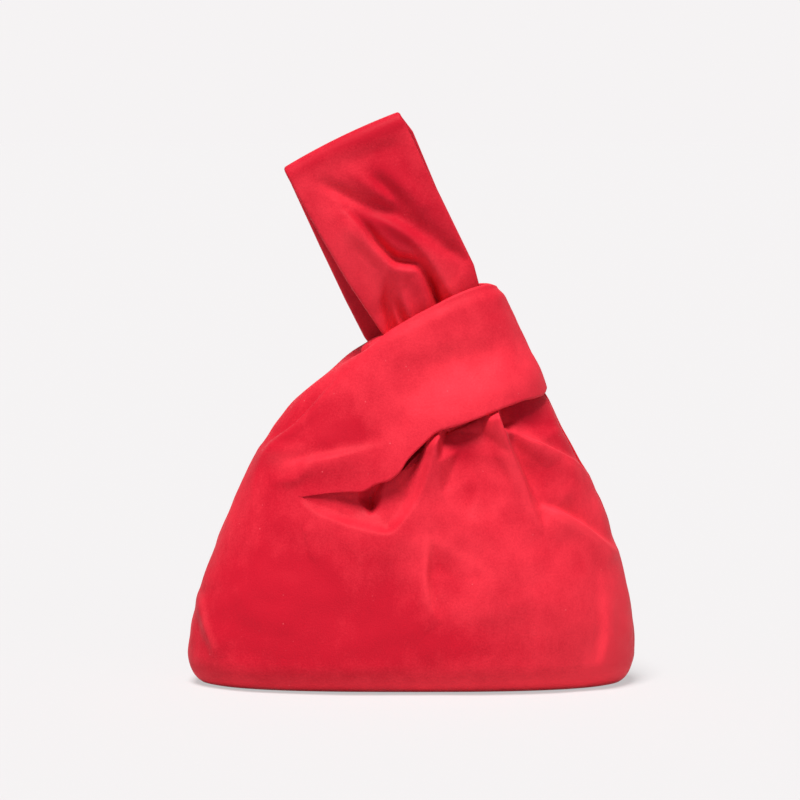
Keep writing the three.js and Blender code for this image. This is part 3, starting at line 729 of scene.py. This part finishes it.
def strapPush(u, w, rows, leaf):
    s = strapShape
    up = np.broadcast_to(w[:, None], u.shape)
    front = foldsHeight(u, up, s["frontFolds"]) * (rows < leaf + s["frontRows"])[:, None]
    back = foldsHeight(u, up, s["backFolds"]) * (rows > leaf + s["backRows"])[:, None]
    return (front + back) * smooth(0, s["foldFade"], s["top"] - w)[:, None]


def strapEdge(side, w, backShare):
    front, back = (np.interp(w, *zip(*strapShape[leaf + side])) for leaf in ("front", "back"))
    return (1 - backShare) * front + backShare * back


def strapSheet():
    s = strapShape
    y, w, leaf = strapPath()
    rows = np.arange(len(w))
    slope = unit(np.stack([np.gradient(y), np.gradient(w)], -1))
    outY, outW = -slope[:, 1:], slope[:, :1]
    backShare = smooth(leaf, leaf + s["turnRows"], rows)
    left, right = strapEdge("Left", w, backShare), strapEdge("Right", w, backShare)
    face = np.linspace(-1, 1, s["faceColumns"] + 1)
    rim = np.linspace(0, math.pi, s["rimColumns"] + 2)[1:-1]
    across = np.concatenate([face, np.ones(len(rim)), face[::-1], -np.ones(len(rim)), face[:1]])
    past = np.concatenate([0 * face, np.sin(rim), 0 * face, -np.sin(rim), [0]])
    through = np.concatenate([1 + 0 * face, np.cos(rim), -1 + 0 * face, -np.cos(rim), [1]])
    u = (left + right)[:, None] / 2 + (right - left)[:, None] / 2 * across + past * s["half"]
    push = strapPush(u, w, rows, leaf) + through * s["half"]
    atTop = smooth(s["top"] + s["crownFrom"], s["top"] + s["crownTo"], w)[:, None]
    crown = s["crown"] * (1 - (u / s["crownHalf"]) ** 2) * atTop
    p = ringPoint(u, w[:, None] + crown + outW * push)
    p[..., 1] = y[:, None] + outY * push
    uneven = s["uneven"]
    p[..., 1] += outY * uneven["height"] * unevenness(p, uneven["size"], uneven["seed"])
    return p


strap = clothMesh("long_handle_cloth", [strapSheet()])
paintLightAndShade(strap, strapShape["napToneAndPaintedLight"], along=True)
print("strap", len(strap.data.polygons), "faces,", round(clothArea(strap) / 2, 4), "m2")


def strapLining():
    s = strapShape
    y, w, leaf = strapPath()
    rows = np.arange(s["liningEnd"], len(w) - s["liningEnd"], s["liningStep"])
    slope = unit(np.stack([np.gradient(y), np.gradient(w)], -1))[rows]
    across = np.linspace(s["liningLeft"], s["liningRight"], s["liningColumns"] + 1)
    u = np.broadcast_to(across, (len(rows), len(across)))
    push = strapPush(u, w[rows], rows, leaf) - s["half"] - s["liningGap"]
    p = ringPoint(u, w[rows][:, None] + slope[:, :1] * push)
    p[..., 1] = y[rows][:, None] - slope[:, 1:] * push
    return p[:, ::-1]


strapLiningPiece = clothMesh("long_handle_lining_cloth", [strapLining()])

throatShape = {
    "along": (-58, -40, -22, -9, -3.5, -1.5), "half": (31, 38, 42, 43, 39.5, 24),
    "depth": (15, 18, 22, 23, 16, 5), "pleatDepth": (0.1, 0.08, 0.06, 0.035, 0.03, 0.03),
    "pleats": 15, "pleatSway": 1.4, "columns": 180,
}


def throatSheet():
    # the gathered collar that shows inside the ring when the loop is drawn up
    s = throatShape
    w, half, depth, pleatDepth = curveThrough(list(zip(s["along"], s["half"], s["depth"], s["pleatDepth"]))).T
    turn = np.linspace(0, 2 * math.pi, s["columns"] + 1)
    pleat = 1 + pleatDepth[:, None] * np.cos(s["pleats"] * turn + s["pleatSway"] * np.sin(2 * turn))
    u = half[:, None] * np.cos(turn) * pleat
    p = ringPoint(u, np.broadcast_to(w[:, None], u.shape))
    p[..., 1] = depth[:, None] * np.sin(turn) * pleat
    return p


throat = clothMesh("throat_cloth", [throatSheet()])
paintLightAndShade(throat, [])
print("knot ready")

napLook = {
    "cloud": {"scale": 38, "detail": 4, "rough": 0.55, "low": 0.3, "high": 0.7, "share": 0.26},
    "grain": {"scale": 900, "detail": 3, "rough": 0.7, "low": 0.25, "high": 0.75, "share": 0.3},
    "streak": {"scale": 110, "detail": 3, "rough": 0.6, "low": 0.3, "high": 0.7, "share": 0.18},
    "lintPlace": {"scale": 120, "detail": 2, "rough": 0.55, "low": 0.58, "high": 0.66},
    "streakWay": (1, 1, 0.6), "level": 0.37, "lintScale": 230, "lintSize": (0.05, 0.13), "lintShare": 0.4,
    "cloudHeight": 0.3, "roughness": (0.52, 0.64),
}


def addSocket(group, name, kind, way):
    return group.interface.new_socket(name, in_out=way, socket_type="NodeSocket" + kind)


def pileAndPaintedLightGroup():
    # velvet pile: broad cloudy tone, short streaks, fine grain and sparse pale lint, with the painted
    # light-and-shade map added to pick between the shaded and the lit colour
    group = bpy.data.node_groups.new("velvetPileAndPaintedLight", "ShaderNodeTree")
    for name in ("Place", "PaintedLightMap", "Tone", "Shade", "Lint"):
        addSocket(group, name, {"Place": "Vector", "PaintedLightMap": "Float"}.get(name, "Color"), "INPUT")
    for name, kind in (("Color", "Color"), ("Height", "Float"), ("Roughness", "Float")):
        addSocket(group, name, kind, "OUTPUT")
    look, nodes, link = napLook, group.nodes, group.links.new
    start, end = nodes.new("NodeGroupInput"), nodes.new("NodeGroupOutput")
    place = start.outputs["Place"]

    def noiseAt(name, where=place):
        n = nodes.new("ShaderNodeTexNoise")
        for socket, key in (("Scale", "scale"), ("Detail", "detail"), ("Roughness", "rough")):
            n.inputs[socket].default_value = look[name][key]
        link(where, n.inputs["Vector"])
        return n.outputs["Fac"]

    def spread(value, low, high, toLow=0.0, toHigh=1.0):
        n = nodes.new("ShaderNodeMapRange")
        n.interpolation_type = "SMOOTHSTEP"
        for socket, number in zip(("From Min", "From Max", "To Min", "To Max"), (low, high, toLow, toHigh)):
            n.inputs[socket].default_value = number
        link(value, n.inputs["Value"])
        return n.outputs["Result"]

    def combine(kind, a, b):
        n = nodes.new("ShaderNodeMath")
        n.operation = kind
        for socket, value in zip(n.inputs, (a, b)):
            if isinstance(value, (int, float)):
                socket.default_value = value
            else:
                link(value, socket)
        return n.outputs[0]

    def mix(share, a, b):
        n = nodes.new("ShaderNodeMix")
        n.data_type = "RGBA"
        n.clamp_factor = True
        for socket, value in zip((0, 6, 7), (share, a, b)):  # the factor and the two colours
            link(value, n.inputs[socket])
        return n.outputs[2]

    streakWay = nodes.new("ShaderNodeVectorMath")
    streakWay.operation = "MULTIPLY"
    streakWay.inputs[1].default_value = look["streakWay"]
    link(place, streakWay.inputs[0])
    cells = nodes.new("ShaderNodeTexVoronoi")
    cells.inputs["Scale"].default_value = look["lintScale"]
    link(place, cells.inputs["Vector"])

    grain = noiseAt("grain")
    fields = {"cloud": noiseAt("cloud"), "grain": grain, "lintPlace": noiseAt("lintPlace"),
              "streak": noiseAt("streak", streakWay.outputs[0])}
    for name, field in fields.items():
        fields[name] = spread(field, look[name]["low"], look[name]["high"])
    mottle = combine("MULTIPLY", fields["cloud"], look["cloud"]["share"])
    for name in ("grain", "streak"):
        mottle = combine("ADD", mottle, combine("MULTIPLY", fields[name], look[name]["share"]))
    # painted light and shade: the painted map plus the random mottle picks the mix between the shaded and the
    # lit colour
    tone = combine("ADD", start.outputs["PaintedLightMap"], combine("SUBTRACT", mottle, look["level"]))
    speck = spread(cells.outputs["Distance"], *look["lintSize"], 1, 0)
    lint = combine("MULTIPLY", speck, fields["lintPlace"])
    color = mix(tone, start.outputs["Shade"], start.outputs["Tone"])
    color = mix(combine("MULTIPLY", lint, look["lintShare"]), color, start.outputs["Lint"])
    height = combine("ADD", grain, combine("MULTIPLY", fields["cloud"], look["cloudHeight"]))
    link(color, end.inputs["Color"])
    link(height, end.inputs["Height"])
    link(spread(fields["cloud"], 0, 1, *look["roughness"]), end.inputs["Roughness"])
    return group


napToneAndPaintedLight = pileAndPaintedLightGroup()
clothFinish = {"bumpStrength": 0.35, "specular": 0.1, "sheenRoughness": 0.25}
clothLooks = {
    # the velvet's tone and shade are its lit and shaded colours; the painted light-and-shade map and the
    # random mottle mix between them
    "velvet": {"tone": (0.83, 0.034, 0.057), "shade": (0.54, 0.007, 0.023), "lint": (0.9, 0.17, 0.19),
               "sheen": 0.05, "sheenTint": (1, 0.34, 0.36), "bumpDepth": 0.0006, "paintedLightMap": True},
    "lining": {"tone": (0.46, 0.018, 0.03), "shade": (0.40, 0.014, 0.025), "lint": (0.5, 0.05, 0.06),
               "sheen": 0.05, "sheenTint": (1, 0.5, 0.5), "bumpDepth": 0.0002, "paintedLightMap": False},
    "interlining": {"tone": (0.78, 0.74, 0.66), "shade": (0.70, 0.66, 0.58), "lint": (0.85, 0.82, 0.75),
                    "sheen": 0.1, "sheenTint": (1, 1, 1), "bumpDepth": 0.0004, "paintedLightMap": False},
    "seam": {"tone": (0.66, 0.02, 0.034), "shade": (0.56, 0.016, 0.028), "lint": (0.8, 0.2, 0.2),
             "sheen": 0.2, "sheenTint": (1, 0.45, 0.45), "bumpDepth": 0.0004, "paintedLightMap": False},
}


def clothMaterial(name, look):
    material = bpy.data.materials.new(name)
    material.use_nodes = True
    nodes, link = material.node_tree.nodes, material.node_tree.links.new
    skin = nodes["Principled BSDF"]
    place = nodes.new("ShaderNodeTexCoord")
    pile = nodes.new("ShaderNodeGroup")
    pile.node_tree = napToneAndPaintedLight
    link(place.outputs["Object"], pile.inputs["Place"])
    pile.inputs["PaintedLightMap"].default_value = unpaintedLevel
    # the velvet reads its painted light-and-shade map; other cloths stay at the unpainted level
    if look["paintedLightMap"]:
        lie = nodes.new("ShaderNodeAttribute")
        lie.attribute_name = "paintedLightMap"
        link(lie.outputs["Fac"], pile.inputs["PaintedLightMap"])
    for socket in ("Tone", "Shade", "Lint"):
        pile.inputs[socket].default_value = (*look[socket.lower()], 1)
    bump = nodes.new("ShaderNodeBump")
    bump.inputs["Strength"].default_value = clothFinish["bumpStrength"]
    bump.inputs["Distance"].default_value = look["bumpDepth"]
    link(pile.outputs["Height"], bump.inputs["Height"])
    link(pile.outputs["Color"], skin.inputs["Base Color"])
    link(pile.outputs["Roughness"], skin.inputs["Roughness"])
    link(bump.outputs["Normal"], skin.inputs["Normal"])
    skin.inputs["Specular IOR Level"].default_value = clothFinish["specular"]
    skin.inputs["Sheen Weight"].default_value = look["sheen"]
    skin.inputs["Sheen Roughness"].default_value = clothFinish["sheenRoughness"]
    skin.inputs["Sheen Tint"].default_value = (*look["sheenTint"], 1)
    return material


cloths = {name: clothMaterial(name, look) for name, look in clothLooks.items()}


def dress(piece, slotName, *nodes):
    piece.data.materials.append(cloths[slotName])
    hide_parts(*nodes)


dress(frontCloth, "velvet", "front_panel", "short_handle_front", "front_gather")
dress(backCloth, "velvet", "back_panel", "short_handle_back", "back_gather")
dress(baseCloth, "velvet", "base_panel")
dress(strap, "velvet", "loop_root", "loop_bunch", "long_handle_front", "long_handle_back", "long_handle_seam")
dress(throat, "velvet", "throat_front", "throat_back")
dress(strapLiningPiece, "lining", "long_handle_front_lining", "long_handle_back_lining")
for sideName in ("front", "back"):
    dress(linings[sideName + "_lining"], "lining", sideName + "_lining",
          f"short_handle_{sideName}_lining", f"{sideName}_gather_lining")
    dress(linings[sideName + "_interlining"], "interlining", sideName + "_interlining")
dress(linings["base_lining"], "lining", "base_lining")
dress(linings["base_interlining"], "interlining", "base_interlining")
for nodeName, ridge in seams.items():
    dress(ridge, "seam", nodeName)

for piece in (frontCloth, backCloth, baseCloth, *linings.values(), *seams.values()):
    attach(piece, "bag")
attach(throat, "knot_throat")
for piece in (strap, strapLiningPiece):
    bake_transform(piece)
ground = {"size": 60, "floorColor": (0.63, 0.62, 0.621), "skyColor": (1, 0.992, 0.996), "skyStrength": 0.12,
          "backColor": (0.915, 0.895, 0.9), "shadowEase": 0.55}
bm = bmesh.new()
bmesh.ops.create_grid(bm, x_segments=1, y_segments=1, size=ground["size"] / 2)
floorMesh = bpy.data.meshes.new("floor")
bm.to_mesh(floorMesh)
bm.free()
floor = bpy.data.objects.new("floor", floorMesh)
bpy.context.scene.collection.objects.link(floor)
floorStuff = bpy.data.materials.new("floorStuff")
floorStuff.use_nodes = True
floorSkin = floorStuff.node_tree.nodes["Principled BSDF"]
floorSkin.inputs["Base Color"].default_value = (*ground["floorColor"], 1)
floorSkin.inputs["Roughness"].default_value = 1
floorSkin.inputs["Specular IOR Level"].default_value = 0
floorMesh.materials.append(floorStuff)

world = bpy.data.worlds.new("studio")
bpy.context.scene.world = world
world.use_nodes = True
sky = world.node_tree.nodes["Background"]
sky.inputs["Color"].default_value = (*ground["skyColor"], 1)
sky.inputs["Strength"].default_value = ground["skyStrength"]


def showBackdrop(tree, lit, kind, output, share):
    # what is seen straight on or in a reflection is the pale backdrop, at no cost in light on the bag
    nodes, link = tree.nodes, tree.links.new
    rays = nodes.new("ShaderNodeLightPath")
    seen = rays.outputs["Is Camera Ray"]
    for name in ("Is Glossy Ray", "Is Transmission Ray"):
        add = nodes.new("ShaderNodeMath")
        add.operation = "ADD"
        add.use_clamp = True
        link(seen, add.inputs[0])
        link(rays.outputs[name], add.inputs[1])
        seen = add.outputs[0]
    weigh = nodes.new("ShaderNodeMath")
    weigh.operation = "MULTIPLY"
    link(seen, weigh.inputs[0])
    weigh.inputs[1].default_value = share
    pale = nodes.new(kind)
    pale.inputs["Color"].default_value = (*ground["backColor"], 1)
    choose = nodes.new("ShaderNodeMixShader")
    link(weigh.outputs[0], choose.inputs[0])
    link(lit, choose.inputs[1])
    link(pale.outputs[0], choose.inputs[2])
    link(choose.outputs[0], nodes[output].inputs["Surface"])


showBackdrop(world.node_tree, sky.outputs[0], "ShaderNodeBackground", "World Output", 1)
showBackdrop(floorStuff.node_tree, floorSkin.outputs[0], "ShaderNodeEmission", "Material Output",
             ground["shadowEase"])

lamps = {"key": {"from": (-0.14, -0.4, 1.0), "strength": 4.5, "angle": 26},
         "fill": {"from": (0.6, -1, 0.15), "strength": 0.3, "angle": 40}}
for name, lamp in lamps.items():
    light = bpy.data.lights.new(name, "SUN")
    light.energy = lamp["strength"]
    light.angle = math.radians(lamp["angle"])
    lampObject = bpy.data.objects.new(name, light)
    lampObject.rotation_euler = Vector(lamp["from"]).to_track_quat("Z", "Y").to_euler()
    bpy.context.scene.collection.objects.link(lampObject)

shot = {"target": (-6.4, 0, 166), "elevation": 4.5, "distance": 2200, "field": 468,
        "sensor": 36, "clipEnd": 200}
tilt = math.radians(shot["elevation"])
cameraData = bpy.data.cameras.new("camera")
cameraData.sensor_width = shot["sensor"]
cameraData.lens = shot["sensor"] * shot["distance"] / shot["field"]
cameraData.clip_end = shot["clipEnd"]
camera = bpy.data.objects.new("camera", cameraData)
towardsCamera = Vector((0, -math.cos(tilt), math.sin(tilt)))
camera.location = (Vector(shot["target"]) + towardsCamera * shot["distance"]) * mm
camera.rotation_euler = towardsCamera.to_track_quat("Z", "Y").to_euler()
bpy.context.scene.collection.objects.link(camera)
bpy.context.scene.camera = camera
bpy.context.scene.view_settings.view_transform = "Standard"
